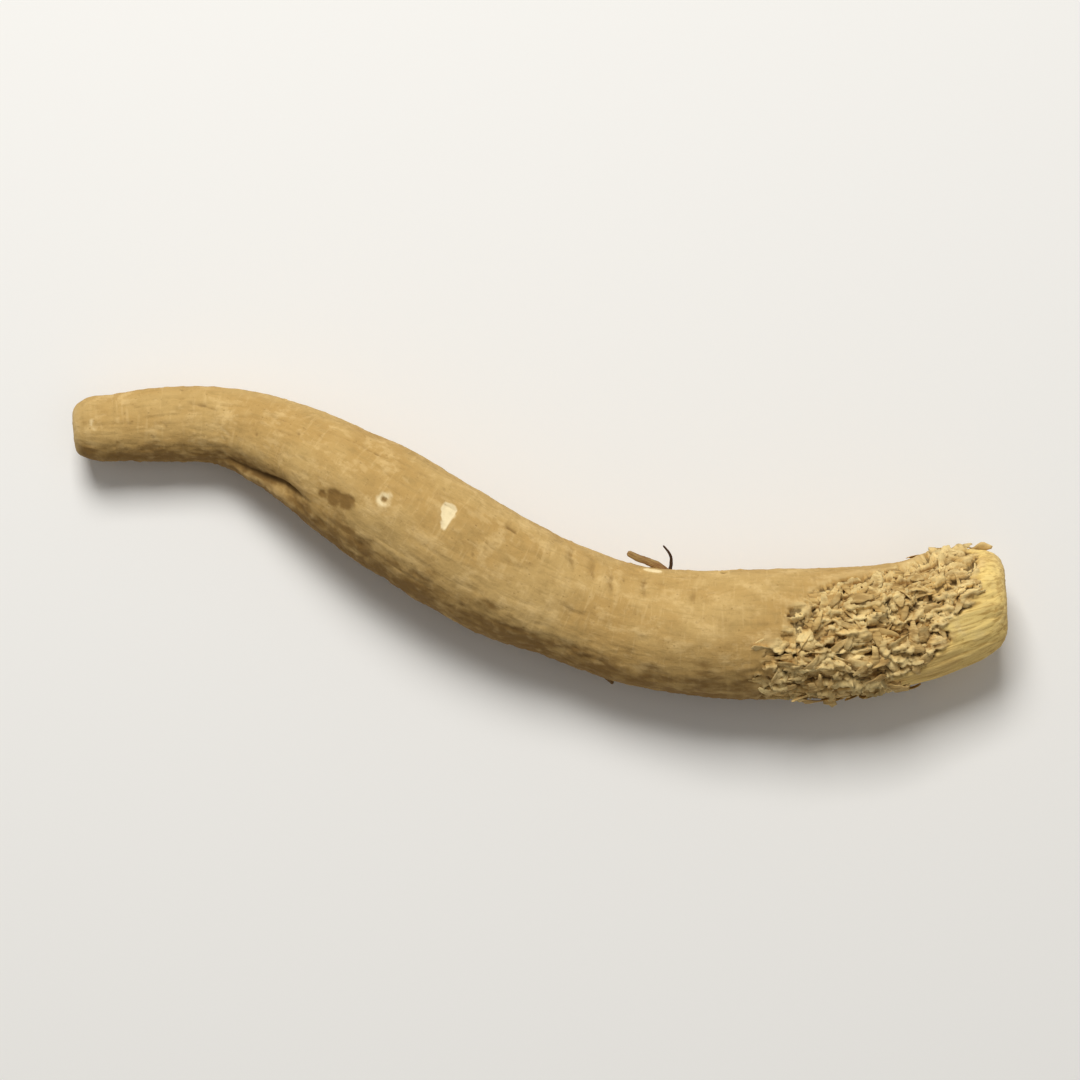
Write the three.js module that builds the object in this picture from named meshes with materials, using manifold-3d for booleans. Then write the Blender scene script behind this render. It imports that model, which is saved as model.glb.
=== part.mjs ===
// A dried ashwagandha root, lying on a flat surface: one solid that grew as one piece.
// Millimetres, +Z up, X along the root from its thin cut end to its thick torn crown, Z = 0 the surface.
// It is a bent, slightly flattened taper with a side ridge, three spots where it rests, and rootlet stubs.
import * as THREE from "three";
import { mergeVertices } from "three/addons/utils/BufferGeometryUtils.js";
import Module from "manifold-3d";

// Driving dimensions
const RING_COUNT = 60; // cross-sections along the root
const SIDE_COUNT = 36; // facets round the root
const REST_CUT = 0.25; // depth of the flats worn where the root rests

// The root's outline: the middle of each cross-section, its half width in plan and its half height.
// gap is the air between the underside and the surface; -REST_CUT where the root rests.
const STATIONS = [
  { x: -48.5, y: 11.8, halfWidth: 3.3, halfHeight: 3.1, gap: 1.7 },
  { x: -43.6, y: 12.2, halfWidth: 3.6, halfHeight: 3.5, gap: 0.9 },
  { x: -38.2, y: 12.45, halfWidth: 3.9, halfHeight: 3.9, gap: 0.1 },
  { x: -32.2, y: 12.1, halfWidth: 4.05, halfHeight: 4.3, gap: -REST_CUT },
  { x: -26.2, y: 9.8, halfWidth: 4.8, halfHeight: 5.0, gap: 0.2 },
  { x: -20.5, y: 6.45, halfWidth: 5.8, halfHeight: 5.8, gap: 0.9 },
  { x: -14.8, y: 2.9, halfWidth: 6.35, halfHeight: 6.2, gap: 1.3 },
  { x: -8.8, y: -0.8, halfWidth: 6.4, halfHeight: 6.4, gap: 1.2 },
  { x: -2.8, y: -4.1, halfWidth: 6.3, halfHeight: 6.2, gap: 0.7 },
  { x: 3.2, y: -6.6, halfWidth: 6.0, halfHeight: 6.0, gap: 0.1 },
  { x: 9.5, y: -8.75, halfWidth: 6.25, halfHeight: 6.1, gap: -REST_CUT },
  { x: 16.2, y: -9.9, halfWidth: 6.5, halfHeight: 6.3, gap: 0.1 },
  { x: 23.8, y: -9.85, halfWidth: 6.8, halfHeight: 6.4, gap: 0.6 },
  { x: 31.8, y: -9.7, halfWidth: 6.85, halfHeight: 6.4, gap: 0.6 },
  { x: 38.8, y: -8.6, halfWidth: 6.5, halfHeight: 6.2, gap: -REST_CUT },
  { x: 43.8, y: -7.1, halfWidth: 6.3, halfHeight: 6.0, gap: 0.0 },
  { x: 48.3, y: -6.2, halfWidth: 6.0, halfHeight: 5.7, gap: 0.6 },
];

// Each end is blunt: a flat face, then a rounded rim. bevel is the rim's length along the root.
const TIP_END = { bevel: 1.8, faceShare: 0.66 };
const CROWN_END = { bevel: 4.2, faceShare: 0.64 };
const RIM_RINGS = 5;

// Swellings and hollows, each a soft bump. turn is in degrees round the root: 0 is +Y, 90 is the top.
const BUMPS = [
  { name: "side ridge", x: -27.5, turn: 172, length: 6.5, spread: 17, height: 0.7 },
  { name: "furrow above the ridge", x: -26.5, turn: 145, length: 6.5, spread: 11, height: -0.5 },
  { name: "ridge's run-out", x: -16.5, turn: 200, length: 5.0, spread: 25, height: 0.3 },
  { name: "shoulder near the tip", x: -40.0, turn: 15, length: 3.0, spread: 30, height: 0.2 },
  { name: "nick at the tip", x: -44.6, turn: 10, length: 1.0, spread: 25, height: -0.12 },
  { name: "hollow of the bend", x: 7.0, turn: 20, length: 5.0, spread: 45, height: -0.3 },
  { name: "swelling past the bend", x: 14.0, turn: 100, length: 6.0, spread: 50, height: 0.3 },
  { name: "belly", x: -4.0, turn: 190, length: 8.0, spread: 30, height: 0.25 },
  { name: "torn crown, upper shelf", x: 37.0, turn: 55, length: 6.0, spread: 18, height: 0.45 },
  { name: "torn crown, gouge", x: 33.0, turn: 95, length: 7.0, spread: 20, height: -0.6 },
  { name: "torn crown, lower shelf", x: 38.0, turn: 150, length: 6.5, spread: 20, height: 0.3 },
  { name: "crown lip", x: 43.5, turn: 20, length: 2.5, spread: 25, height: 0.35 },
];
const LOBES = [
  { count: 3, share: 0.02, twist: 1.9 },
  { count: 5, share: 0.01, twist: -3.1 },
];

// Rootlet stubs: points along the middle of each, from inside the root outwards, and the radii at its ends.
const ROOTLETS = [
  {
    points: [[14.2, -4.7, 7.0], [12.7, -3.0, 7.2], [11.1, -2.3, 7.5], [9.3, -1.5, 8.0]],
    baseRadius: 0.42,
    tipRadius: 0.25,
  },
  {
    points: [[13.4, -4.9, 6.4], [13.8, -2.9, 6.4], [13.8, -1.8, 6.9], [13.0, -0.7, 7.2]],
    baseRadius: 0.25,
    tipRadius: 0.16,
  },
  {
    points: [[4.6, -11.5, 6.4], [5.7, -13.0, 6.3], [6.8, -14.0, 6.0], [7.8, -15.0, 5.8]],
    baseRadius: 0.5,
    tipRadius: 0.22,
  },
];
const ROOTLET_RINGS = 9;
const ROOTLET_SIDES = 8;

const SKIN = { color: 0xbd9960, roughness: 0.9, metalness: 0 };

const UP = new THREE.Vector3(0, 0, 1);

// A function of the share of the way through a list of values, smooth through all of them.
function smoothThrough(values) {
  const curve = new THREE.CatmullRomCurve3(values.map((value) => new THREE.Vector3(value, 0, 0)));
  return (share) => curve.getPoint(share).x;
}

// A closed surface round a centreline. rings lists {centre, ahead, radiusAt}, from one end to the other;
// radiusAt(turn) gives the distance to the surface along the ring's own width and height directions.
function loft(rings, sideCount) {
  const positions = [];
  for (const { centre, ahead, radiusAt } of rings) {
    const aside = new THREE.Vector3().crossVectors(UP, ahead).normalize();
    const above = new THREE.Vector3().crossVectors(ahead, aside).normalize();
    for (let side = 0; side < sideCount; side++) {
      const turn = (side / sideCount) * 2 * Math.PI;
      const { across, upward } = radiusAt(turn);
      const point = centre.clone().addScaledVector(aside, across).addScaledVector(above, upward);
      positions.push(...point.toArray());
    }
  }
  const firstCentre = positions.length / 3;
  positions.push(...rings[0].centre.toArray());
  const lastCentre = positions.length / 3;
  positions.push(...rings.at(-1).centre.toArray());

  const faces = [];
  for (let ring = 0; ring < rings.length - 1; ring++) {
    for (let side = 0; side < sideCount; side++) {
      const next = (side + 1) % sideCount;
      const a = ring * sideCount + side;
      const b = ring * sideCount + next;
      const c = a + sideCount;
      const d = b + sideCount;
      faces.push(a, b, c, b, d, c);
    }
  }
  const lastRing = (rings.length - 1) * sideCount;
  for (let side = 0; side < sideCount; side++) {
    const next = (side + 1) % sideCount;
    faces.push(firstCentre, next, side);
    faces.push(lastCentre, lastRing + side, lastRing + next);
  }
  const geometry = new THREE.BufferGeometry();
  geometry.setAttribute("position", new THREE.Float32BufferAttribute(positions, 3));
  geometry.setIndex(faces);
  return geometry;
}

// How far a cross-section has closed in at this distance from a blunt end, as a share of its full size.
function rimShare(distance, { bevel, faceShare }) {
  if (distance >= bevel) return 1;
  const fromRim = 1 - distance / bevel;
  return faceShare + (1 - faceShare) * Math.sqrt(1 - fromRim ** 2);
}

// Extra radius at a place on the root from the named bumps, in millimetres.
function bumpHeight(x, turn) {
  const degrees = THREE.MathUtils.radToDeg(turn);
  return BUMPS.reduce((sum, bump) => {
    const turned = THREE.MathUtils.euclideanModulo(degrees - bump.turn + 180, 360) - 180;
    const away = ((x - bump.x) / bump.length) ** 2 + (turned / bump.spread) ** 2;
    return sum + bump.height * Math.exp(-away);
  }, 0);
}

function lobeShare(share, turn) {
  return LOBES.reduce(
    (sum, lobe) => sum + lobe.share * Math.sin(lobe.count * turn + lobe.twist * 2 * Math.PI * share),
    0,
  );
}

// Shares of the root's length at which to place cross-sections: even, and closer together at the rims.
function ringShares(length) {
  const rim = ({ bevel }) =>
    Array.from({ length: RIM_RINGS }, (_, i) => (bevel / length) * (1 - Math.cos((i / RIM_RINGS) * (Math.PI / 2))));
  const start = TIP_END.bevel / length;
  const end = 1 - CROWN_END.bevel / length;
  const body = Array.from({ length: RING_COUNT }, (_, i) => start + ((end - start) * i) / (RING_COUNT - 1));
  const crown = rim(CROWN_END).map((share) => 1 - share);
  return [...rim(TIP_END), ...body, ...crown.reverse()];
}

function rootBody() {
  const middle = new THREE.CatmullRomCurve3(
    STATIONS.map(({ x, y, halfHeight, gap }) => new THREE.Vector3(x, y, gap + halfHeight)),
  );
  const halfWidth = smoothThrough(STATIONS.map((station) => station.halfWidth));
  const halfHeight = smoothThrough(STATIONS.map((station) => station.halfHeight));
  const length = middle.getLength();
  const rings = ringShares(length).map((share) => {
    const along = middle.getUtoTmapping(share);
    const centre = middle.getPoint(along);
    const rim = rimShare(share * length, TIP_END) * rimShare((1 - share) * length, CROWN_END);
    const radiusAt = (turn) => {
      const shape = rim * (1 + lobeShare(share, turn));
      const bump = rim * bumpHeight(centre.x, turn);
      return {
        across: Math.cos(turn) * (halfWidth(along) * shape + bump),
        upward: Math.sin(turn) * (halfHeight(along) * shape + bump),
      };
    };
    return { centre, ahead: middle.getTangent(along), radiusAt };
  });
  return loft(rings, SIDE_COUNT);
}

function rootlet({ points, baseRadius, tipRadius }) {
  const middle = new THREE.CatmullRomCurve3(points.map((point) => new THREE.Vector3(...point)));
  const rings = Array.from({ length: ROOTLET_RINGS }, (_, i) => {
    const share = i / (ROOTLET_RINGS - 1);
    const radius = THREE.MathUtils.lerp(baseRadius, tipRadius, share);
    const radiusAt = (turn) => ({ across: Math.cos(turn) * radius, upward: Math.sin(turn) * radius });
    return { centre: middle.getPoint(share), ahead: middle.getTangent(share), radiusAt };
  });
  return loft(rings, ROOTLET_SIDES);
}

// Everything below the surface that the root lies on.
function ground() {
  const width = 200;
  const depth = 20;
  return new THREE.BoxGeometry(width, width, depth).translate(0, 0, -depth / 2);
}

const wasm = await Module();
wasm.setup();

function solidFrom(geometry) {
  const bare = geometry.clone().deleteAttribute("normal").deleteAttribute("uv");
  const merged = mergeVertices(bare);
  return new wasm.Manifold(
    new wasm.Mesh({
      numProp: 3,
      vertProperties: merged.attributes.position.array,
      triVerts: new Uint32Array(merged.index.array),
    }),
  );
}

function geometryFrom(solid) {
  const { vertProperties, triVerts } = solid.getMesh();
  const geometry = new THREE.BufferGeometry();
  geometry.setAttribute("position", new THREE.BufferAttribute(vertProperties, 3));
  geometry.setIndex(new THREE.BufferAttribute(triVerts, 1));
  return geometry;
}

// Moves the origin to the middle of the root's box in plan. The underside is already at Z = 0.
function centredInPlan(geometry) {
  geometry.computeBoundingBox();
  const middle = geometry.boundingBox.getCenter(new THREE.Vector3());
  return geometry.translate(-middle.x, -middle.y, 0);
}

const withRootlets = ROOTLETS.reduce(
  (solid, each) => solid.add(solidFrom(rootlet(each))),
  solidFrom(rootBody()),
);
const rested = withRootlets.subtract(solidFrom(ground()));

const root = new THREE.Mesh(centredInPlan(geometryFrom(rested)), new THREE.MeshStandardMaterial(SKIN));
root.name = "root";

const ashwagandhaRoot = new THREE.Group();
ashwagandhaRoot.add(root);

export default ashwagandhaRoot;
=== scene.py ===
"""Looks of a dried ashwagandha root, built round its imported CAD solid.

The skin is one fine grid round the root. Its smooth shape is measured off the CAD solid with rays
from the root's middle line, and the relief on it comes from seeded noise and a few placed marks.
The torn flakes at the crown and the rootlet stubs are closed meshes of their own.

Lengths are in millimetres until a mesh or a lamp is made. +X runs from the cut tip to the torn
crown, +Z is up. A turn is an angle round the root: 0 is its +Y side and 90 its top.
"""

import itertools
import math

import bpy
import numpy as np
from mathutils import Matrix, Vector
from mathutils.bvhtree import BVHTree


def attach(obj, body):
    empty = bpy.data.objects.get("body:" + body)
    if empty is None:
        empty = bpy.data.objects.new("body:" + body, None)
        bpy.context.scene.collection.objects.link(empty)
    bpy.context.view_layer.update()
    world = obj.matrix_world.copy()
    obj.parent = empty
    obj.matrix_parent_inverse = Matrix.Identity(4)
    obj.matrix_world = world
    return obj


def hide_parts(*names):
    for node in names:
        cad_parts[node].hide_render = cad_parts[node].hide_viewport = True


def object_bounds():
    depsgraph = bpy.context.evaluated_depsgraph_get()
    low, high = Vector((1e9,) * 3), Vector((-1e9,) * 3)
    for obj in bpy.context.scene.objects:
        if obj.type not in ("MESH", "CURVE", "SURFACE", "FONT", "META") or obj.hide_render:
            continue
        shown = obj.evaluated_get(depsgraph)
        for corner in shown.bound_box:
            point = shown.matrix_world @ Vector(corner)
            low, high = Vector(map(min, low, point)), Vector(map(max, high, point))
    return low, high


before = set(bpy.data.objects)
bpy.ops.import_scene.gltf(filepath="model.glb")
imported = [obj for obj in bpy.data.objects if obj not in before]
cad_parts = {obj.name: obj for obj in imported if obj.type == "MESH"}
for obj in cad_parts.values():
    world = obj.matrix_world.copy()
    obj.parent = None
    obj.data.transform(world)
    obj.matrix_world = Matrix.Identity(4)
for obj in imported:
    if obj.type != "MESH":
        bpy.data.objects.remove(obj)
CAD_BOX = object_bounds()

MM = 0.001
BODY = "root"
NODE = "root"

# The skin's grid
SIDES = 208
BODY_STEP = 0.29
CROWN_STEP = 0.15
CROWN_GRID_FROM = 19.0
TIP_INSET = 3.4
CROWN_INSET = 5.6

# Where the torn bark begins, and where bare wood shows past it: x at each turn round the root
TORN_FROM = {10: 39.5, 32: 36, 41: 30.5, 60: 27.5, 78: 25.5, 100: 25.5, 120: 23.5, 150: 23, 180: 25,
             225: 31, 270: 35, 315: 39}
WOOD_FROM = {20: 45, 60: 45, 90: 44.5, 110: 41.6, 135: 41, 150: 36.5, 170: 36, 200: 39, 270: 42, 340: 45}

# Marks on the upper side, placed in plan: (x, y)
CREASE = [(-33.6, 8.9), (-31.2, 7.8), (-29.0, 6.7), (-26.7, 5.7), (-25.2, 4.6), (-23.4, 3.4)]
RIDGE = [(-33.0, 7.9), (-31.0, 7.2), (-29.0, 6.0), (-26.7, 4.3), (-24.0, 2.1)]
PALE_SCRATCHES = [
    [(-34.5, 12.9), (-33.2, 11.6), (-31.7, 10.2)],
    [(-33.4, 11.1), (-32.6, 10.0)],
    [(-8.3, 3.3), (-7.4, 3.9), (-6.2, 4.1)],
    [(17.0, -6.0), (18.6, -5.6)],
]
DARK_SCRATCHES = [
    [(-37.0, 14.4), (-35.0, 14.0), (-33.2, 13.4)],
    [(-3.6, 1.0), (-2.2, 0.2)],
    [(1.6, -6.8), (3.6, -7.9), (5.0, -8.3)],
]
FOLDS = [
    [(3.4, -0.6), (3.1, -2.2), (3.5, -4.2)],
    [(5.6, -1.9), (5.3, -3.6), (5.6, -5.2)],
    [(7.6, -3.0), (7.2, -4.8), (7.5, -7.2)],
    [(10.9, -3.9), (10.6, -5.2), (10.9, -7.4)],
    [(15.8, -5.2), (15.6, -7.6)],
]
RING_SCAR = (-15.9, 3.5)
CHIP = [(-9.3, 2.4), (-9.5, 1.3), (-9.9, 0.4)]
STUB_SCAR = [(11.0, -3.5), (12.3, -3.7)]
TIP_SPOT = [(-46.8, 12.4), (-46.6, 11.6)]

# The parts of one dark spot on the upper side: x, y and radius
DARK_SPOTS = [(-21.1, 3.9, 1.1), (-19.9, 3.3, 1.0), (-22.4, 4.3, 0.6)]

# Small rootlet scars on the sides that the marks above don't reach: x, turn and radius
SCARS = [(-38.0, 300, 0.55), (-27.0, 20, 0.45), (-21.0, 250, 0.7), (-6.0, 215, 0.5), (-1.0, 330, 0.65),
         (6.0, 275, 0.55), (15.5, 205, 0.6), (19.0, 20, 0.5), (22.0, 290, 0.7), (-33.0, 215, 0.4)]

# Rootlet stubs: their middle lines, from inside the root outwards, and the radii at their ends
ROOTLETS = [
    {"points": [(14.0, -4.6, 7.0), (12.5, -2.9, 7.2), (10.9, -2.2, 7.5), (9.1, -1.4, 8.0)],
     "radii": (0.5, 0.34), "flat": 0.6, "shade": 0.3},
    {"points": [(13.2, -4.8, 6.4), (13.6, -2.8, 6.4), (13.6, -1.7, 6.9), (12.8, -0.6, 7.2)],
     "radii": (0.24, 0.1), "flat": 1.0, "shade": 1.0},
    {"points": [(4.4, -11.4, 6.4), (5.5, -12.9, 6.3), (6.6, -13.9, 6.0), (7.6, -14.9, 5.8)],
     "radii": (0.55, 0.18), "flat": 0.9, "shade": 0.6},
]

# The crown's end is sheared: its +Y side reaches further along X than its -Y side
CROWN_SHEAR = 0.15
CROWN_SHEAR_MIDDLE = -9.0
CROWN_SHEAR_FROM = 41
CROWN_SHEAR_TO = 47

# How far the tip's cut face stands out, and how deep bare wood lies under the bark
TIP_BULGE = 0.35
WOOD_DEPTH = 0.25

# Torn flakes at the crown: how many, each one's rows and columns, the round of the root that they
# follow, how deep they are rooted, and the x from which the crown's rim has none
FLAKE_COUNT = 400
FLAKE_GRID = (9, 5)
FLAKE_BEND = 6.0
FLAKE_DEPTH = 0.24
FLAKES_THIN_FROM = 45.6
FLAKES_END_AT = 46.8

# Colours as they look in even light, 0 to 255. The pale dust tone also serves as painted highlight on ridges,
# the mottle tone also as painted shade on the lower side and in hollows, and the crevice tone is painted
# shade in pits and gaps.
PALETTE = {
    "skin": (198, 164, 102),
    "skin_warm": (190, 153, 90),
    "skin_dust": (221, 188, 127),
    "skin_olive": (172, 141, 84),
    "mottle": (132, 99, 49),
    "crevice": (74, 51, 23),
    "torn": (216, 179, 110),
    "torn_light": (244, 217, 152),
    "torn_dark": (150, 113, 60),
    "wood": (250, 218, 134),
    "wood_line": (202, 164, 88),
    "scar": (248, 228, 180),
    "cut": (216, 188, 136),
    "rootlet": (146, 98, 54),
    "rootlet_dark": (70, 48, 30),
    "floor": (240, 238, 233),
}


def linear(name):
    """A palette colour in the renderer's linear values, with alpha."""
    shares = np.array(PALETTE[name]) / 255
    values = np.where(shares <= 0.04045, shares / 12.92, ((shares + 0.055) / 1.055) ** 2.4)
    return (*values.tolist(), 1.0)


# ---------------------------------------------------------------- noise

CORNERS = np.array(list(itertools.product((0, 1), repeat=3)))
NEIGHBOURS = np.array(list(itertools.product((-1, 0, 1), repeat=3)))


class Noise:
    """Seeded noise in three dimensions, worked out for whole arrays of points at once."""

    def __init__(self, seed):
        source = np.random.default_rng(seed)
        self.shuffle = source.permutation(256)
        ways = source.normal(size=(256, 3))
        self.slopes = ways / np.linalg.norm(ways, axis=1, keepdims=True)
        self.scatter = source.random((256, 3))

    def number(self, cell):
        """A fixed number from 0 to 255 for each cell of the lattice."""
        first = self.shuffle[cell[..., 0] & 255]
        second = self.shuffle[(first + cell[..., 1]) & 255]
        return self.shuffle[(second + cell[..., 2]) & 255]

    def smooth(self, points):
        """Gradient noise, from about -1 to 1."""
        cell = np.floor(points).astype(int)
        inside = points - cell
        fade = inside**3 * (inside * (inside * 6 - 15) + 10)
        total = np.zeros(points.shape[:-1])
        for corner in CORNERS:
            weight = np.where(corner == 1, fade, 1 - fade).prod(-1)
            slope = self.slopes[self.number(cell + corner)]
            total += weight * (slope * (inside - corner)).sum(-1)
        return total * 1.7

    def rough(self, points, octaves, gain=0.5):
        """Several sizes of gradient noise added up, from about -1 to 1."""
        total = np.zeros(points.shape[:-1])
        share = 1.0
        for octave in range(octaves):
            total += share * self.smooth(points * 2.03**octave + 17.3 * octave)
            share *= gain
        return total / (2 - 2 * gain**octaves)

    def cells(self, points):
        """For each point, the nearest seed: its distance, the second's, its number and the way to it."""
        cell = np.floor(points).astype(int)
        nearest = np.full(points.shape[:-1], 9.0)
        second = np.full(points.shape[:-1], 9.0)
        number = np.zeros(points.shape[:-1], int)
        way = np.zeros(points.shape)
        for neighbour in NEIGHBOURS:
            named = self.number(cell + neighbour)
            offset = points - (cell + neighbour + self.scatter[named])
            distance = np.linalg.norm(offset, axis=-1)
            closer = distance < nearest
            second = np.where(closer, nearest, np.minimum(second, distance))
            number = np.where(closer, named, number)
            way = np.where(closer[..., None], offset, way)
            nearest = np.where(closer, distance, nearest)
        return nearest, second, number, way


def step(low, high, values):
    """0 below low and 1 above high, smooth between. low may be the greater, to turn it round."""
    share = np.clip((values - low) / (high - low), 0, 1)
    return share * share * (3 - 2 * share)


def blurred(field, along, around):
    """A field on the grid, smoothed by passes along the root and round it."""
    for _ in range(along):
        padded = np.pad(field, ((1, 1), (0, 0)), mode="edge")
        field = (padded[:-2] + 2 * padded[1:-1] + padded[2:]) / 4
    for _ in range(around):
        field = (np.roll(field, 1, 1) + 2 * field + np.roll(field, -1, 1)) / 4
    return field


# ---------------------------------------------------------------- the root's smooth shape


def cad_tree():
    """The CAD solid in millimetres, ready for rays."""
    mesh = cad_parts[NODE].data
    corners = [vertex.co / MM for vertex in mesh.vertices]
    return BVHTree.FromPolygons(corners, [list(face.vertices) for face in mesh.polygons]), np.array(corners)


def distances(tree, origins, directions):
    """How far it is from each origin to the solid's surface, in each direction."""
    flat_origins = origins.reshape(-1, 3)
    flat_directions = directions.reshape(-1, 3)
    found = [tree.ray_cast(Vector(o), Vector(d))[3] or 0.0 for o, d in zip(flat_origins, flat_directions)]
    return np.array(found).reshape(origins.shape[:-1])


def without_stubs(radii, reach):
    """Radii round each ring with the narrow bumps of the rootlet stubs taken off."""
    shifts = range(-reach, reach + 1)
    worn = np.min([np.roll(radii, shift, 1) for shift in shifts], axis=0)
    return np.max([np.roll(worn, shift, 1) for shift in shifts], axis=0)


def frames_along(centres):
    """Unit vectors along a line of points, to its +Y side and to its upper side."""
    ahead = np.gradient(centres, axis=0)
    ahead /= np.linalg.norm(ahead, axis=1, keepdims=True)
    aside = np.cross((0, 0, 1), ahead)
    aside /= np.linalg.norm(aside, axis=1, keepdims=True)
    return ahead, aside, np.cross(ahead, aside)


def middle_line(tree, corners):
    """Points 0.25 mm apart down the middle of the root, from inside the tip to inside the crown."""
    low, high = corners[:, 0].min() + TIP_INSET, corners[:, 0].max() - CROWN_INSET
    places = np.linspace(low, high, 60)
    centres = np.array([corners[abs(corners[:, 0] - x) < 2.0].mean(axis=0) for x in places])
    centres[:, 0] = places
    turns = np.arange(36) / 36 * math.tau
    for _ in range(4):
        for axis in (1, 2):
            padded = np.pad(centres[:, axis], 2, mode="reflect", reflect_type="odd")
            centres[:, axis] = np.convolve(padded, [1 / 16, 4 / 16, 6 / 16, 4 / 16, 1 / 16], mode="valid")
        ahead, aside, above = frames_along(centres)
        radial = np.cos(turns)[:, None] * aside[:, None] + np.sin(turns)[:, None] * above[:, None]
        radii = without_stubs(distances(tree, np.broadcast_to(centres[:, None], radial.shape), radial), 2)
        centres = centres + (radial * radii[..., None]).mean(axis=1) * [0, 1, 1]
    walked = np.concatenate([[0], np.cumsum(np.linalg.norm(np.diff(centres, axis=0), axis=1))])
    fine = np.arange(0, walked[-1], 0.25)
    return np.stack([np.interp(fine, walked, centres[:, axis]) for axis in range(3)], axis=1), fine


class Skin:
    """The grid round the root: smooth places, normals, and places on the root as if it were straight."""

    def __init__(self):
        tree, corners = cad_tree()
        self.tree = tree
        line, walked = middle_line(tree, corners)
        line = np.stack([blurred(line[:, axis:axis + 1], 40, 0)[:, 0] for axis in range(3)], axis=1)
        finer = line[:, 0] > CROWN_GRID_FROM
        share = np.cumsum(np.where(finer, 0.25 / CROWN_STEP, 0.25 / BODY_STEP))
        stops = np.interp(np.arange(share[0], share[-1], 1.0), share, walked)
        ahead, aside, above = (self.pick(part, walked, stops) for part in frames_along(line))
        centres = self.pick(line, walked, stops)

        tip_lean = -np.linspace(math.pi / 2, 0, 26)[:-1]
        crown_lean = np.linspace(0, math.pi / 2, 66)[1:]
        self.lean = np.concatenate([tip_lean, np.zeros(len(stops)), crown_lean])[:, None]
        rows = np.concatenate([np.zeros(len(tip_lean), int), np.arange(len(stops)),
                               np.full(len(crown_lean), len(stops) - 1)])
        self.turn = (np.arange(SIDES) / SIDES * math.tau)[None, :]
        cosine, sine = np.cos(self.turn)[..., None], np.sin(self.turn)[..., None]
        radial = cosine * aside[rows][:, None] + sine * above[rows][:, None]
        lean = self.lean[..., None]
        outward = np.cos(lean) * radial + np.sin(lean) * ahead[rows][:, None]
        origins = np.broadcast_to(centres[rows][:, None], outward.shape)

        radii = without_stubs(distances(tree, origins, outward), 6)
        radii = blurred(radii, 8, 20)
        self.base = origins + outward * radii[..., None]
        shear = CROWN_SHEAR * step(CROWN_SHEAR_FROM, CROWN_SHEAR_TO, self.base[..., 0])
        self.base[..., 0] += shear * (self.base[..., 1] - CROWN_SHEAR_MIDDLE)
        self.ahead = np.broadcast_to(ahead[rows][:, None], outward.shape)
        self.normal = self.normals(self.base, outward)
        offset = radii * np.cos(self.lean)
        self.straight = np.stack([stops[rows][:, None] + radii * np.sin(self.lean),
                                  offset * np.cos(self.turn), offset * np.sin(self.turn)], axis=-1)

    @staticmethod
    def pick(values, walked, stops):
        return np.stack([np.interp(stops, walked, values[:, axis]) for axis in range(3)], axis=1)

    @staticmethod
    def normals(places, outward):
        """Unit normals of a grid of places, pointing the way that outward does."""
        across = np.roll(places, -1, 1) - np.roll(places, 1, 1)
        along = np.gradient(places, axis=0)
        normal = np.cross(across, along)
        normal *= np.sign((normal * outward).sum(-1, keepdims=True))
        length = np.linalg.norm(normal, axis=-1, keepdims=True)
        normal = np.where(length > 1e-9, normal / np.maximum(length, 1e-9), outward)
        normal[0], normal[-1] = outward[0], outward[-1]
        return normal

    @property
    def degrees(self):
        return np.degrees(self.turn)

    @property
    def x(self):
        return self.base[..., 0]

    def on_top(self, x, y):
        """The place on the upper side at this place in plan, or the nearest to it."""
        hit = self.tree.ray_cast(Vector((x, y, 60)), Vector((0, 0, -1)))[0]
        return np.array(hit or self.tree.find_nearest(Vector((x, y, 6)))[0])

    def beside(self, x, turn):
        """The place on the smooth skin nearest to this x and turn, with lean 0."""
        side = int(round(turn / 360 * SIDES)) % SIDES
        straight_rows = np.flatnonzero(self.lean[:, 0] == 0)
        row = straight_rows[abs(self.x[straight_rows, side] - x).argmin()]
        return self.base[row, side]

    def from_place(self, place):
        return np.linalg.norm(self.base - place, axis=-1)

    def from_path(self, points):
        """How far each place is from a path drawn in plan on the upper side, and the share along it."""
        corners = np.array([self.on_top(x, y) for x, y in points])
        nearest = np.full(self.base.shape[:2], 1e3)
        share = np.zeros(self.base.shape[:2])
        for number, (start, end) in enumerate(zip(corners, corners[1:])):
            run = end - start
            t = np.clip(((self.base - start) @ run) / (run @ run), 0, 1)
            away = np.linalg.norm(self.base - start - t[..., None] * run, axis=-1)
            share = np.where(away < nearest, (number + t) / (len(corners) - 1), share)
            nearest = np.minimum(nearest, away)
        return nearest, share

    def past(self, border):
        """How far each place is past a border given as x at each turn."""
        turns = np.array(sorted(border))
        values = np.array([border[turn] for turn in sorted(border)], float)
        degrees = np.broadcast_to(self.degrees, self.base.shape[:2])
        return self.x - np.interp(degrees, turns, values, period=360)


# ---------------------------------------------------------------- relief


def torn_borders(skin, noise):
    """The torn bark's mask and the bare wood's, with ragged borders."""
    ragged = 3.4 * noise.rough(skin.straight / 3.6, 3) + 1.2 * noise.rough(skin.straight / 0.9 + 5, 2)
    torn = step(-0.9, 0.9, skin.past(TORN_FROM) + ragged)
    ragged_wood = 1.6 * noise.rough(skin.straight / (5, 1.6, 1.6) + 40, 3)
    wood = step(-0.35, 0.35, skin.past(WOOD_FROM) + ragged_wood)
    return torn, wood


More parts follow.
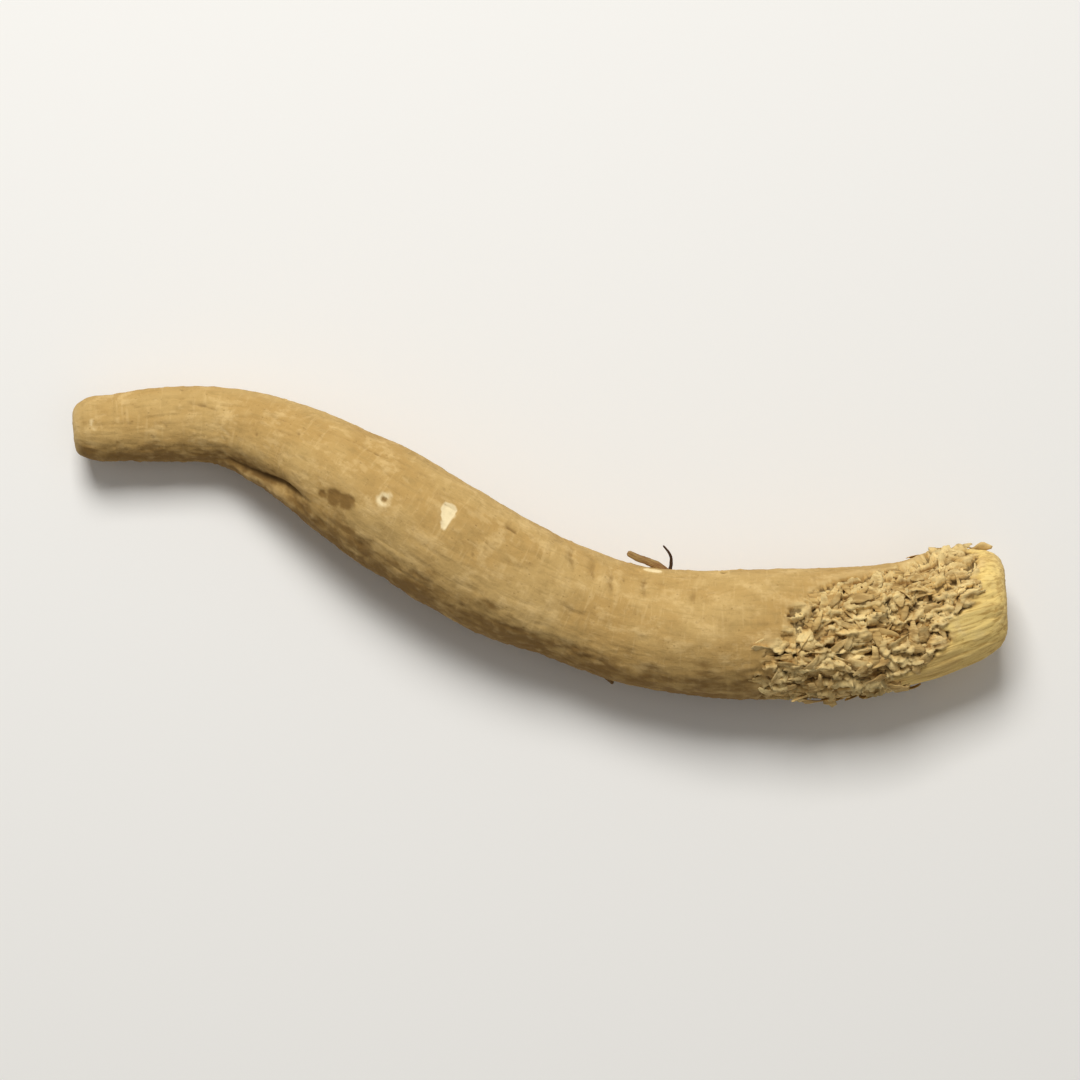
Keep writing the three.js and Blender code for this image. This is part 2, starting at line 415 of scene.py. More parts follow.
def bark_relief(skin, noise, marks):
    """The height of the plain bark: swellings, wrinkles, bands, cracks, peeled spots, pores and a grain."""
    at = skin.straight
    height = 0.24 * noise.rough(at / (10, 6, 6), 2)
    height += 0.15 * noise.rough(at / (3.6, 2.6, 2.6) + 9, 3)

    patch = step(-0.2, 0.4, noise.rough(at / (12, 7, 7) + 31, 2))
    seam = noise.smooth(at / (11, 1.2, 1.2) + 0.5 * noise.smooth(at / 3)[..., None])
    height -= 0.075 * np.exp(-(seam / 0.16) ** 2) * (0.15 + 0.85 * patch)
    height += 0.022 * noise.smooth(at / (6, 0.42, 0.42) + 5)

    band_patch = step(-0.15, 0.4, noise.rough(at / (6, 5, 5) + 53, 2))
    band = noise.smooth(at / (0.8, 4.5, 4.5) + 0.4 * noise.smooth(at / 1.7)[..., None])
    height += 0.06 * band * (0.25 + 0.75 * band_patch)
    crack = noise.smooth(at / (1.6, 3.6, 3.6) + 71)
    cracked = np.exp(-(crack / 0.06) ** 2) * step(0.1, 0.55, noise.rough(at / (4, 3, 3) + 83, 2))
    height -= 0.035 * cracked

    peeled = step(0.30, 0.36, noise.rough(at / (1.9, 1.4, 1.4) + 137, 4))
    height -= 0.035 * peeled
    near, _, number, _ = noise.cells(at / (1.5, 1.5, 1.5) + 100)
    pore = step(0.2, 0.06, near) * (number < 40)
    height -= 0.07 * pore
    near, _, number, _ = noise.cells(at / (0.85, 1.9, 1.9) + 200)
    wart = step(0.42, 0.12, near) * (number < 50)
    height += 0.07 * wart
    height += 0.045 * noise.rough(at / 0.6 + 7, 3)
    marks["peel"] = peeled
    # The darkening at pores and cracks is painted shade in these recesses.
    marks["pit_shade"] = np.maximum(marks["pit_shade"], np.maximum(0.35 * pore, 0.12 * cracked))
    return height


def lower_side(skin, noise):
    """Rough dark mottles low on the -Y side and underneath, with painted shade: the mask darkens the side
    turned from the key lamp.
    """
    side = step(105, 165, skin.degrees) * step(345, 285, skin.degrees)
    speckle = noise.rough(skin.straight / (2.4, 1.5, 1.5) + 11, 4, gain=0.62)
    patches = noise.rough(skin.straight / (9, 5, 5) + 19, 2)
    return np.clip(side * 1.2 - 0.34 + 0.7 * speckle + 0.45 * patches, 0, 1)


def placed_marks(skin, noise, marks):
    """The crease and ridge, scratches, folds, scars and spots. Adds to the marks and returns a height."""
    wander = 0.22 * noise.rough(skin.straight / 0.9 + 61, 3)
    broken = step(-0.5, 0.2, noise.rough(skin.straight / 1.3 + 67, 3))
    height = np.zeros(skin.base.shape[:2])

    def paint(mark, values):
        marks[mark] = np.maximum(marks[mark], values)

    def along(path, start, end):
        """Distance to a path, and a fade towards its ends."""
        away, share = skin.from_path(path)
        return away, share, step(0.0, start, share) * step(1.0, 1 - end, share)

    # The darkening painted into the crease, scratches, folds and scar middles is painted shade where they
    # sink.
    away, share, fade = along(CREASE, 0.25, 0.35)
    height -= (0.42 * np.exp(-((away + 0.4 * wander) / 0.34) ** 2) + 0.16 * np.exp(-(away / 1.0) ** 2)) * fade
    paint("pit_shade", 0.85 * np.exp(-((away + wander) / 0.34) ** 2) * fade * (0.5 + 0.5 * broken))
    away, share, fade = along(RIDGE, 0.3, 0.4)
    height += 0.34 * np.exp(-(away / 0.9) ** 2) * fade

    for path in PALE_SCRATCHES:
        away, share, fade = along(path, 0.2, 0.3)
        line = np.exp(-((away + 0.6 * wander) / 0.22) ** 2) * fade * broken
        height -= 0.07 * line
        paint("scar", 0.34 * line)
    for path in DARK_SCRATCHES:
        away, share, fade = along(path, 0.2, 0.3)
        line = np.exp(-((away + 0.6 * wander) / 0.2) ** 2) * fade
        height -= 0.12 * line
        paint("pit_shade", 0.4 * line * broken)
    for path in FOLDS:
        away, share, fade = along(path, 0.35, 0.45)
        height -= 0.13 * np.exp(-((away + 0.5 * wander) / 0.34) ** 2) * fade
        height += 0.07 * np.exp(-((away - 0.8) / 0.5) ** 2) * fade
        paint("pit_shade", 0.10 * np.exp(-((away + 0.5 * wander) / 0.25) ** 2) * fade)

    away = skin.from_place(skin.on_top(*RING_SCAR)) + 1.7 * wander
    height += 0.10 * np.exp(-((away - 0.75) / 0.3) ** 2) - 0.20 * np.exp(-(away / 0.3) ** 2)
    paint("scar", 0.75 * np.exp(-((away - 0.5) / 0.45) ** 2) * (0.4 + 0.6 * broken))
    paint("pit_shade", 0.22 * step(0.35, 0.1, away))
    for x, turn, radius in SCARS:
        away = skin.from_place(skin.beside(x, turn)) / radius + 1.4 * wander
        height += 0.14 * np.exp(-((away - 1.1) / 0.45) ** 2) - 0.26 * np.exp(-(away / 0.6) ** 2)
        paint("scar", 0.25 * np.exp(-((away - 1.1) / 0.4) ** 2) * broken)
        paint("pit_shade", 0.7 * step(0.7, 0.2, away))

    away, share = skin.from_path(CHIP)
    chip = step(0.16, -0.12, away + 1.6 * wander - (0.85 - 0.62 * share))
    height -= 0.13 * chip
    paint("scar", chip)
    away, share = skin.from_path(STUB_SCAR)
    paint("scar", 0.9 * step(0.45, 0.2, away + wander))
    height += 0.16 * step(0.9, 0.2, away)
    away, share = skin.from_path(TIP_SPOT)
    paint("scar", 0.55 * step(0.5, 0.0, away + 1.5 * wander))
    spots = [skin.from_place(skin.on_top(x, y)) / radius for x, y, radius in DARK_SPOTS]
    away = np.min(spots, axis=0) + 1.6 * wander
    paint("dark_patches_and_painted_shade", 1.2 * step(1.25, 0.35, away))
    height -= 0.07 * step(1.0, 0.2, away)
    return height


def torn_relief(skin, noise):
    """The height of the torn bark: tilted plates with sharp edges, at three sizes, over a lumpy bed."""
    at = skin.straight
    warp = np.stack([noise.smooth(at / 1.6 + shift) for shift in (3.1, 23.7, 47.9)], axis=-1)
    height = 0.35 * noise.rough(at / (3.4, 2.2, 2.2) + 13, 2)
    height -= 0.55 * step(0.12, 0.5, noise.rough(at / (2.4, 1.2, 1.2) + 151, 2))
    plates = [
        ((2.8, 1.25, 1.25), 0.85, 0.5),
        ((1.3, 0.62, 0.62), 0.45, 0.26),
        ((0.6, 0.34, 0.34), 0.18, 0.10),
    ]
    for number, (size, tilt, spread) in enumerate(plates):
        near, second, cell, way = noise.cells(at / size + 0.35 * warp + 300 * (number + 1))
        leaning = noise.slopes[cell]
        level = noise.scatter[(cell + 31) % 256][..., 0] - 0.5
        height += tilt * (way * leaning).sum(-1) + spread * level
        height -= 0.35 * tilt * step(0.16, 0.0, second - near)
    fibre = noise.smooth(at / (2.4, 0.24, 0.24) + 0.4 * warp)
    return height + 0.07 * fibre


def wood_relief(skin, noise):
    """The height of bare wood: ribs along the root, and on the crown's end a sawn face with a soft middle."""
    at = skin.straight
    ribs = 0.22 * noise.rough(at / (12, 1.3, 1.3) + 27, 2) + 0.07 * noise.smooth(at / (6, 0.4, 0.4) + 29)
    from_middle = np.hypot(at[..., 1], at[..., 2])
    facing = step(0.55, 0.95, np.sin(skin.lean)) * np.ones_like(from_middle)
    rays = noise.smooth(np.stack([9 * np.cos(skin.turn) * np.ones_like(from_middle),
                                  9 * np.sin(skin.turn) * np.ones_like(from_middle),
                                  from_middle / 3], axis=-1))
    face = 0.12 * noise.rough(at / 0.9 + 37, 3) + 0.06 * rays - 0.7 * step(1.1, 0.3, from_middle)
    return ribs * (1 - facing) + face * facing, facing


def relief(skin):
    """The height of the whole surface over its smooth shape, and the marks that colour it, each 0 to 1."""
    noise = Noise(4107)
    marks = {name: np.zeros(skin.base.shape[:2]) for name in ("pit_shade", "scar", "dark_patches_and_painted_shade", "peel", "cut")}
    torn, wood = torn_borders(skin, noise)
    marks["dark_patches_and_painted_shade"] = lower_side(skin, noise)
    bark = bark_relief(skin, noise, marks) + placed_marks(skin, noise, marks)
    bark += 0.2 * marks["dark_patches_and_painted_shade"] * noise.rough(skin.straight / 0.9 + 91, 3)
    plates = torn_relief(skin, noise)
    ribs, facing = wood_relief(skin, noise)

    tip = step(-0.72, -0.95, np.sin(skin.lean)) * np.ones_like(bark)
    at = skin.straight
    from_middle = np.hypot(at[..., 1], at[..., 2])
    tip_face = TIP_BULGE + 0.10 * noise.rough(at / 0.8 + 43, 3) - 0.25 * step(0.9, 0.2, from_middle)
    bark = bark * (1 - 0.7 * tip) + tip_face * tip

    lip = np.exp(-((torn - 0.5) / 0.35) ** 2)
    height = bark * (1 - torn) + (plates - 0.30) * torn + 0.12 * lip
    height = height * (1 - wood) + (ribs - WOOD_DEPTH) * wood
    marks["torn"] = torn * (1 - wood)
    marks["wood"] = wood
    marks["cut"] = np.maximum(tip, facing * wood)
    marks["pit_shade"] = marks["pit_shade"] * (1 - torn)
    marks["scar"] = marks["scar"] * (1 - torn)
    return height, marks


# ---------------------------------------------------------------- meshes


def new_mesh(name, places, faces, marks, straight, uv, material):
    """A smooth-shaded object from places in millimetres. marks and straight go in as point attributes."""
    mesh = bpy.data.meshes.new(name)
    mesh.from_pydata((np.asarray(places) * MM).tolist(), [], [list(face) for face in faces])
    mesh.polygons.foreach_set("use_smooth", np.ones(len(mesh.polygons), bool))
    for mark, values in marks.items():
        attribute = mesh.attributes.new(mark, "FLOAT", "POINT")
        attribute.data.foreach_set("value", np.asarray(values, np.float32))
    attribute = mesh.attributes.new("straight", "FLOAT_VECTOR", "POINT")
    attribute.data.foreach_set("vector", np.asarray(straight, np.float32).ravel())
    layer = mesh.uv_layers.new(name="OFBake")
    layer.data.foreach_set("uv", np.asarray(uv, np.float32).ravel())
    mesh.materials.append(material)
    made = bpy.data.objects.new(name, mesh)
    bpy.context.scene.collection.objects.link(made)
    return made


def make_skin(skin, height, marks, material):
    """The root's whole surface as one closed mesh, a point at each end."""
    places = skin.base + skin.normal * height[..., None]
    places[..., 2] = np.maximum(places[..., 2], 0)
    rings = len(places)
    inner = places[1:-1].reshape(-1, 3)
    vertices = np.concatenate([places[:1, 0], inner, places[-1:, 0]])

    def corner(ring, side):
        if ring in (0, rings - 1):
            return 0 if ring == 0 else len(vertices) - 1
        return 1 + (ring - 1) * SIDES + side % SIDES

    faces, uv = [], []
    for ring in range(rings - 1):
        low, high = ring / (rings - 1), (ring + 1) / (rings - 1)
        for side in range(SIDES):
            left, right = side / SIDES, (side + 1) / SIDES
            loop = [(corner(ring, side), (low, left)), (corner(ring, side + 1), (low, right)),
                    (corner(ring + 1, side + 1), (high, right)), (corner(ring + 1, side), (high, left))]
            if ring == 0:
                del loop[1]
            if ring == rings - 2:
                del loop[2]
            faces.append([index for index, _ in loop])
            uv.extend(spot for _, spot in loop)

    def as_points(field):
        return np.concatenate([field[:1, 0], field[1:-1].reshape(-1, *field.shape[2:]), field[-1:, 0]])

    spread = {name: as_points(np.broadcast_to(field, places.shape[:2])) for name, field in marks.items()}
    return new_mesh("dried_root", vertices, faces, spread, as_points(skin.straight), uv, material)


def strip(centre_line, sides, ups, widths, thickness, cup):
    """A thin closed strip along a line: its places and faces, the upper sheet first and then the lower."""
    rows, columns = len(centre_line), FLAKE_GRID[1]
    shares = np.linspace(-1, 1, columns)
    across = sides[:, None] * (shares[None, :, None] * widths[:, None, None])
    lift = ups[:, None] * (cup * (shares[None, :, None] ** 2) * widths[:, None, None])
    middle = centre_line[:, None] + across + lift
    edge = (1 - 0.6 * shares**2)[None, :, None] * thickness
    top = middle + ups[:, None] * edge / 2
    bottom = middle - ups[:, None] * edge / 2
    places = np.concatenate([top.reshape(-1, 3), bottom.reshape(-1, 3)])
    below = rows * columns
    faces = []
    for row in range(rows - 1):
        for column in range(columns - 1):
            a = row * columns + column
            b, c, d = a + 1, a + columns + 1, a + columns
            faces.append((a, b, c, d))
            faces.append((below + d, below + c, below + b, below + a))
    border = [*range(columns), *range(2 * columns - 1, below, columns),
              *range(below - 2, below - columns - 1, -1), *range(below - 2 * columns, 0, -columns)]
    for one, two in zip(border, border[1:] + border[:1]):
        faces.append((two, one, below + one, below + two))
    return places, faces


def flake(source, place, normal, along, strand):
    """One torn flake: rooted in the bark, it rises along its length, curls and is cupped across.

    strand is 0 for broad curled flakes, and 1 for the narrower strands high on the crown."""
    rows = FLAKE_GRID[0]
    length = source.uniform(1.0, 2.9) * (1 - 0.25 * strand)
    width = source.uniform(0.24, 0.6) * (0.7 + 0.25 * length) * (1 - 0.4 * strand)
    skew = math.radians(source.normal(14 + 30 * strand, 50 - 26 * strand))
    aside = np.cross(normal, along)
    ahead = math.cos(skew) * along + math.sin(skew) * aside
    if source.random() < 0.4:
        ahead = -ahead
    start = math.radians(source.uniform(6, 30)) * (1 - 0.5 * strand)
    arched = source.random() < 0.8
    curl = -start * source.uniform(1.8, 2.6) if arched else math.radians(source.uniform(-50, 25))
    pitch = start + curl * np.linspace(0, 1, rows) ** 1.2
    piece = length / (rows - 1)
    forward = np.concatenate([[0], np.cumsum(np.cos(pitch[:-1]))]) * piece
    upward = np.concatenate([[0], np.cumsum(np.sin(pitch[:-1]))]) * piece
    sway = 0.24 * length * source.normal() * np.linspace(0, 1, rows) ** 2
    side = np.cross(normal, ahead)
    around = forward * math.sin(skew)
    upward = upward - FLAKE_DEPTH - 0.1 * strand - around**2 / (2 * FLAKE_BEND)
    line = place + ahead * forward[:, None] + side * sway[:, None] + normal * upward[:, None]
    ups = normal * np.cos(pitch)[:, None] - ahead * np.sin(pitch)[:, None]
    twist = math.radians(source.normal(0, 20))
    roll = np.linspace(0, twist, rows)[:, None] + math.radians(source.normal(0, 12))
    sides = side * np.cos(roll) + ups * np.sin(roll)
    ups = ups * np.cos(roll) - side * np.sin(roll)
    share = np.linspace(0, 1, rows)
    widths = width * (0.5 + 0.5 * np.sin(math.pi * np.minimum(share * 1.1 + 0.1, 1)))
    widths *= source.uniform(0.78, 1.2, rows) * np.where(share > 0.95, source.uniform(0.4, 0.95), 1)
    places, faces = strip(line, sides, ups, widths, source.uniform(0.07, 0.14), source.uniform(-0.6, 0.3))
    return places, faces, np.tile(np.repeat(share, FLAKE_GRID[1]), 2)


def make_flakes(skin, height, marks, material):
    """All the torn flakes as one mesh, each closed, and rooted in the torn bark."""
    source = np.random.default_rng(88)
    places = skin.base + skin.normal * height[..., None]
    rim = 0.05 * step(-5.0, 0.5, skin.past(TORN_FROM)) * (1 - marks["wood"])
    inside = step(FLAKES_END_AT, FLAKES_THIN_FROM, places[..., 0]) * (places[..., 2] > 1.0)
    chance = np.maximum(marks["torn"], rim) * inside
    ring_area = np.linalg.norm(np.roll(skin.base, -1, 1) - skin.base, axis=-1)
    ring_area *= np.linalg.norm(np.gradient(skin.base, axis=0), axis=-1)
    chance = (chance * ring_area).ravel()
    picked = source.choice(chance.size, FLAKE_COUNT, replace=False, p=chance / chance.sum())
    all_places, all_faces, tips, bark_share, straight, uv = [], [], [], [], [], []
    cells = math.ceil(math.sqrt(FLAKE_COUNT))
    count = 0
    for number, spot in enumerate(picked):
        ring, side = divmod(int(spot), SIDES)
        place, normal = places[ring, side], skin.normal[ring, side]
        strand = float(step(36, 41, place[0]) * step(110, 70, skin.degrees[0, side]))
        made, faces, share = flake(source, place, normal, skin.ahead[ring, side], strand)
        made[:, 2] = np.maximum(made[:, 2], 0.02)
        all_places.append(made)
        all_faces.extend([index + count for index in face] for face in faces)
        tips.append(share)
        bark_share.append(np.full(len(share), source.uniform(0.45, 1.0)))
        straight.append(skin.straight[ring, side] + (made - place))
        uv.extend(flake_uv(faces, number, cells))
        count += len(made)
    tips = np.concatenate(tips)
    nothing = np.zeros(count)
    # Flake tips get painted highlight, a paler tint and a raised relief value, and their roots get painted
    # shade.
    spread = {"torn": np.concatenate(bark_share), "wood": nothing, "cut": nothing, "dark_patches_and_painted_shade": nothing,
              "peel": nothing, "scar": 0.12 * tips, "pit_shade": 0.4 * (1 - tips) ** 3, "hollow": 0.5 + 0.22 * tips}
    return new_mesh("torn_flakes", np.concatenate(all_places), all_faces, spread,
                    np.concatenate(straight), uv, material)


def flake_uv(faces, number, cells):
    """Map corners for one strip, in its own square of a grid: the upper sheet left, the lower right."""
    rows, columns = FLAKE_GRID
    row, column = divmod(number, cells)
    spots = []
    for face in faces:
        sheet = min(index // (rows * columns) for index in face)
        for index in face:
            along, across = divmod(index % (rows * columns), columns)
            u = 0.05 + 0.4 * across / (columns - 1) + 0.5 * sheet
            v = 0.05 + 0.9 * along / (rows - 1)
            spots.append(((column + u) / cells, (row + v) / cells))
    return spots


def make_rootlet(name, points, radii, flat, shade, material):
    """A tapering, slightly kinked stub along a line of points, closed at both ends."""
    rows, sides = 40, 14
    noise = Noise(len(name) + int(100 * radii[0]))
    knots = np.array(points, float)
    share = np.linspace(0, 1, rows)
    line = np.stack([np.polyval(np.polyfit(np.linspace(0, 1, len(knots)), knots[:, axis], 3), share)
                     for axis in range(3)], axis=1)
    ahead, aside, above = frames_along(line)
    turns = (np.arange(sides) / sides * math.tau)[None, :, None]
    radial = np.cos(turns) * aside[:, None] + flat * np.sin(turns) * above[:, None]
    circle = np.cos(turns[..., 0]), np.sin(turns[..., 0])
    straight = np.stack(np.broadcast_arrays(share[:, None] * 6, *circle), -1)
    radius = (radii[0] + (radii[1] - radii[0]) * share)[:, None]
    radius = radius * (1 + 0.22 * noise.rough(straight / (0.9, 0.8, 0.8), 3))
    radius[-1] *= 0.55
    tube = line[:, None] + radial * radius[..., None]
    vertices = np.concatenate([line[:1], tube.reshape(-1, 3), line[-1:]])
    faces, uv = [], []
    last = len(vertices) - 1
    for row in range(-1, rows):
        for side in range(sides):
            near, far = side, (side + 1) % sides
            v = ((row + 1) / (rows + 1), (row + 2) / (rows + 1))
            u = (side / sides, (side + 1) / sides)
            here, there = 1 + row * sides, 1 + (row + 1) * sides
            if row == -1:
                faces.append((0, there + far, there + near))
                uv += [(u[0], v[0]), (u[1], v[1]), (u[0], v[1])]
            elif row == rows - 1:
                faces.append((here + near, here + far, last))
                uv += [(u[0], v[0]), (u[1], v[0]), (u[0], v[1])]
            else:
                faces.append((here + near, here + far, there + far, there + near))
                uv += [(u[0], v[0]), (u[1], v[0]), (u[1], v[1]), (u[0], v[1])]
    flat_straight = np.concatenate([straight[0, :1], straight.reshape(-1, 3), straight[-1, :1]])
    marks = {"shade": np.full(len(vertices), shade)}
    return new_mesh(name, vertices, faces, marks, flat_straight, uv, material)


# ---------------------------------------------------------------- materials


class Graph:
    """A material's nodes, added one call at a time."""

    def __init__(self, name):
        self.material = bpy.data.materials.new(name)
        self.material.use_nodes = True
        self.tree = self.material.node_tree
        self.shader = self.tree.nodes["Principled BSDF"]

    def add(self, kind, sockets=(), **settings):
        node = self.tree.nodes.new(kind)
        for name, value in settings.items():
            setattr(node, name, value)
        for socket, value in dict(sockets).items():
            self.set(node.inputs[socket], value)
        return node

    def set(self, socket, value):
        if isinstance(value, bpy.types.NodeSocket):
            self.tree.links.new(value, socket)
        else:
            socket.default_value = value

    def mark(self, name):
        return self.add("ShaderNodeAttribute", attribute_name=name).outputs["Fac"]

    def straight(self, stretch=(1, 1, 1)):
        """Places on the straightened root in millimetres, divided by stretch."""
        vector = self.add("ShaderNodeAttribute", attribute_name="straight").outputs["Vector"]
        return self.add("ShaderNodeVectorMath", {0: vector, 1: stretch}, operation="DIVIDE").outputs[0]

    def noise(self, size, detail=4.0, roughness=0.55, stretch=(1, 1, 1), distortion=0.0):
        """Noise whose features are about size millimetres, drawn out by stretch."""
        values = {"Vector": self.straight(stretch), "Scale": 1 / size, "Detail": detail}
        values.update({"Roughness": roughness, "Distortion": distortion})
        return self.add("ShaderNodeTexNoise", values).outputs["Fac"]

    def cells(self, size, stretch=(1, 1, 1), feature="F1"):
        values = {"Vector": self.straight(stretch), "Scale": 1 / size}
        return self.add("ShaderNodeTexVoronoi", values, feature=feature).outputs["Distance"]

    def between(self, value, low, high, out_low=0.0, out_high=1.0):
        """A value's place between low and high, smooth and held at the ends."""
        values = {"Value": value, "From Min": low, "From Max": high, "To Min": out_low, "To Max": out_high}
        node = self.add("ShaderNodeMapRange", values, interpolation_type="SMOOTHSTEP")
        return node.outputs["Result"]

    def sum(self, operation, one, two):
        return self.add("ShaderNodeMath", {0: one, 1: two}, operation=operation).outputs[0]

    def mix(self, share, one, two):
        """Colour one where share is 0, and two where it is 1. A colour is a palette name or a socket."""
        one, two = (linear(colour) if isinstance(colour, str) else colour for colour in (one, two))
        node = self.add("ShaderNodeMix", {0: share, 6: one, 7: two}, data_type="RGBA")
        return node.outputs[2]

    def bump(self, height, strength, distance_mm, under=None):
        values = {"Height": height, "Strength": strength, "Distance": distance_mm * MM}
        if under is not None:
            values["Normal"] = under
        return self.add("ShaderNodeBump", values).outputs["Normal"]


def bark_material():
    """Dusty tan bark, with torn bark, bare wood, scars and dark patches where the marks say, and with painted
    shade on the side away from the key lamp, in hollows, pits and gaps, and painted highlight on ridges.
    """
    graph = Graph("root_bark")
    torn, wood, cut, peel = graph.mark("torn"), graph.mark("wood"), graph.mark("cut"), graph.mark("peel")
    dark_patches_and_painted_shade, scar, pit_shade = graph.mark("dark_patches_and_painted_shade"), graph.mark("scar"), graph.mark("pit_shade")
    hollow = graph.mark("hollow")
    broad = graph.noise(6.0, detail=3, stretch=(1.5, 1, 1))
    medium = graph.noise(2.0, detail=6, roughness=0.66, stretch=(1.4, 1, 1))
    fine = graph.noise(0.36, detail=4, roughness=0.7)
    fibres = graph.noise(0.35, detail=3, stretch=(9, 1, 1), distortion=0.4)
    bands = graph.noise(0.5, detail=3, stretch=(1, 6, 6), distortion=0.5)
    dots = graph.cells(0.9, (1.4, 1, 1))

    colour = graph.mix(graph.between(broad, 0.36, 0.62), "skin", "skin_warm")
    colour = graph.mix(graph.between(medium, 0.50, 0.68, 0, 0.7), colour, "skin_dust")
    colour = graph.mix(graph.between(medium, 0.47, 0.30, 0, 0.6), colour, "skin_olive")
    colour = graph.mix(graph.sum("MULTIPLY", peel, 0.4), colour, "skin_dust")
    colour = graph.mix(graph.between(bands, 0.53, 0.72, 0, 0.35), colour, "skin_dust")
    colour = graph.mix(graph.between(fibres, 0.45, 0.3, 0, 0.4), colour, "skin_olive")
    colour = graph.mix(graph.between(fine, 0.43, 0.25, 0, 0.4), colour, "mottle")
    colour = graph.mix(graph.between(dots, 0.13, 0.05, 0, 0.4), colour, "mottle")
    # Painted shade on the side turned from the key lamp, mixed with the bark's real dark mottles and the dark
    # spot.
    uneven = graph.sum("MULTIPLY", graph.noise(1.5, detail=5, roughness=0.65, stretch=(1.7, 1, 1)), 1.5)
    blotch_and_shade = graph.between(graph.sum("ADD", dark_patches_and_painted_shade, uneven), 0.72, 1.65, 0, 0.9)
    colour = graph.mix(blotch_and_shade, colour, "mottle")

    shreds = graph.mix(graph.between(fibres, 0.35, 0.62), "torn_dark", "torn")
    shreds = graph.mix(graph.between(medium, 0.44, 0.64), shreds, "torn_light")
    colour = graph.mix(torn, colour, shreds)
    grain = graph.mix(graph.between(fibres, 0.34, 0.58), "wood_line", "wood")
    grain = graph.mix(graph.between(medium, 0.5, 0.75, 0, 0.5), grain, "torn_light")
    grain = graph.mix(graph.between(broad, 0.52, 0.34, 0, 0.35), grain, "torn")
    # Painted shade on the wood's side turned from the key lamp, with its dark mottles.
    grain = graph.mix(graph.sum("MULTIPLY", dark_patches_and_painted_shade, 0.3), grain, "skin_warm")
    colour = graph.mix(wood, colour, grain)
    face = graph.mix(graph.between(fine, 0.3, 0.7), "skin", "cut")
    colour = graph.mix(graph.sum("MULTIPLY", cut, 0.8), colour, face)
    chalk = graph.between(graph.sum("ADD", scar, graph.sum("MULTIPLY", fine, 0.3)), 0.3, 1.1)
    colour = graph.mix(chalk, colour, "scar")

    # Painted highlight on raised relief, and painted shade in hollows and in the gaps of the torn bark.
    raised = graph.between(hollow, 0.5, 0.9, 0, 0.5)
    sunk = graph.between(hollow, 0.46, 0.1, 0, 0.75)
    colour = graph.mix(raised, colour, graph.mix(torn, "skin_dust", "torn_light"))
    colour = graph.mix(sunk, colour, graph.mix(torn, "mottle", "crevice"))
    # Painted shade in pits, grooves and at the roots of the flakes.
    colour = graph.mix(graph.sum("MULTIPLY", pit_shade, 0.8), colour, "crevice")

    normal = graph.bump(medium, 0.4, 0.25)
    normal = graph.bump(graph.sum("ADD", fibres, bands), 0.5, 0.09, normal)
    normal = graph.bump(fine, 0.6, 0.09, normal)
    roughness = graph.between(fine, 0.3, 0.7, 0.82, 0.97)
    shader = graph.shader
    graph.set(shader.inputs["Base Color"], colour)
    graph.set(shader.inputs["Roughness"], roughness)
    graph.set(shader.inputs["Normal"], normal)
    shader.inputs["Specular IOR Level"].default_value = 0.25
    return graph.material


def rootlet_material():
    """Woody brown, nearly black where the stub is thin."""
    graph = Graph("rootlet_bark")
    shade = graph.mark("shade")
    fibres = graph.noise(0.25, detail=3, stretch=(6, 1, 1))
    fine = graph.noise(0.12, detail=3)
    colour = graph.mix(graph.between(fibres, 0.35, 0.65), "rootlet", "skin")
    colour = graph.mix(graph.between(fine, 0.5, 0.3, 0, 0.6), colour, "mottle")
    colour = graph.mix(shade, colour, "rootlet_dark")
    graph.set(graph.shader.inputs["Base Color"], colour)
    graph.set(graph.shader.inputs["Roughness"], graph.between(fine, 0.3, 0.7, 0.75, 0.95))
    graph.set(graph.shader.inputs["Normal"], graph.bump(fibres, 0.5, 0.05))
    graph.shader.inputs["Specular IOR Level"].default_value = 0.25
    return graph.material


def floor_material():
    graph = Graph("floor_paper")
    grain = graph.add("ShaderNodeTexNoise", {"Scale": 60.0, "Detail": 2.0}).outputs["Fac"]
    level = graph.between(grain, 0.2, 0.8, 0.88, 0.96)
    graph.shader.inputs["Base Color"].default_value = linear("floor")
    graph.set(graph.shader.inputs["Roughness"], level)
    return graph.material


# ---------------------------------------------------------------- the object


def hollows(height, torn):
    """How sunk or raised each place is beside its surroundings: 0.5 level, 0 sunk, 1 raised. The bark's
    colour turns it into painted shade in hollows and painted highlight on ridges.
    """
    fine = height - blurred(height, 12, 12)
    broad = height - blurred(height, 60, 60)
    span = 0.55 + 0.2 * torn
    return np.clip(0.5 + (0.7 * fine + 0.4 * broad) / span, 0, 1)


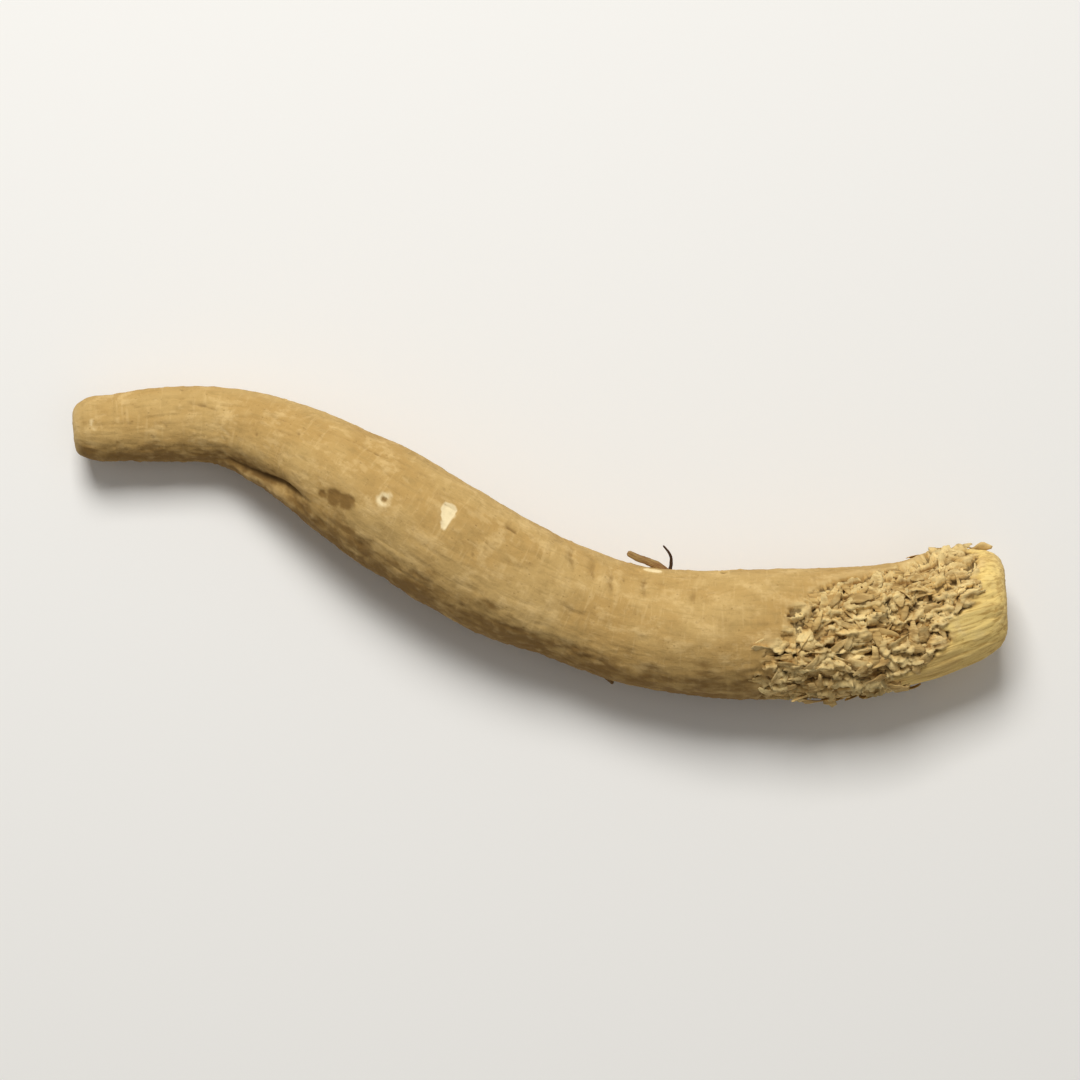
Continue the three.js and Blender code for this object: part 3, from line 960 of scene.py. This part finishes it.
def make_root():
    """The skin, flakes and rootlets, riding on the frame in place of the CAD solid."""
    skin = Skin()
    height, marks = relief(skin)
    marks["hollow"] = hollows(height, marks["torn"])
    bark = bark_material()
    surface = make_skin(skin, height, marks, bark)
    flakes = make_flakes(skin, height, marks, bark)
    wood = rootlet_material()
    stubs = [make_rootlet(f"rootlet_{number}", **rootlet, material=wood)
             for number, rootlet in enumerate(ROOTLETS, 1)]
    for piece in (surface, flakes, *stubs):
        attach(piece, BODY)
    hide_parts(NODE)
    return surface


# ---------------------------------------------------------------- the studio


def make_floor():
    bpy.ops.mesh.primitive_plane_add(size=4.0, location=(0, 0, 0))
    floor = bpy.context.object
    floor.name = "floor"
    floor.data.materials.append(floor_material())


def area_lamp(name, place, watts, size):
    """A square soft lamp aimed at the middle of the floor."""
    lamp = bpy.data.lights.new(name, "AREA")
    lamp.energy, lamp.size = watts, size
    made = bpy.data.objects.new(name, lamp)
    made.location = place
    made.rotation_euler = (-Vector(place)).to_track_quat("-Z", "Y").to_euler()
    bpy.context.scene.collection.objects.link(made)


def make_studio():
    world = bpy.data.worlds.new("studio")
    world.use_nodes = True
    background = world.node_tree.nodes["Background"]
    background.inputs["Color"].default_value = (1.0, 0.98, 0.95, 1.0)
    background.inputs["Strength"].default_value = 0.22
    bpy.context.scene.world = world
    area_lamp("key", (-0.08, 0.33, 0.50), 3.2, 0.26)
    area_lamp("fill", (0.25, -0.10, 0.60), 0.25, 0.5)
    bpy.context.scene.view_settings.view_transform = "Standard"


def make_camera(elevation=84.0, lens=100.0, fill=0.87):
    """A camera that looks down on the root, which fills this share of the frame's width."""
    low, high = (Vector(corner) for corner in CAD_BOX)
    centre = (low + high) / 2
    camera = bpy.data.cameras.new("camera")
    camera.lens = lens
    half = camera.sensor_width / 2 / lens
    tilt = math.radians(elevation)
    back = Vector((0, -math.cos(tilt), math.sin(tilt)))
    made = bpy.data.objects.new("camera", camera)
    made.location = centre + back * ((high - low).x / 2 / fill / half)
    made.rotation_euler = (-back).to_track_quat("-Z", "Y").to_euler()
    camera.clip_start = 0.01
    camera.clip_end = 20
    bpy.context.scene.collection.objects.link(made)
    bpy.context.scene.camera = made


make_root()
make_floor()
make_studio()
make_camera()
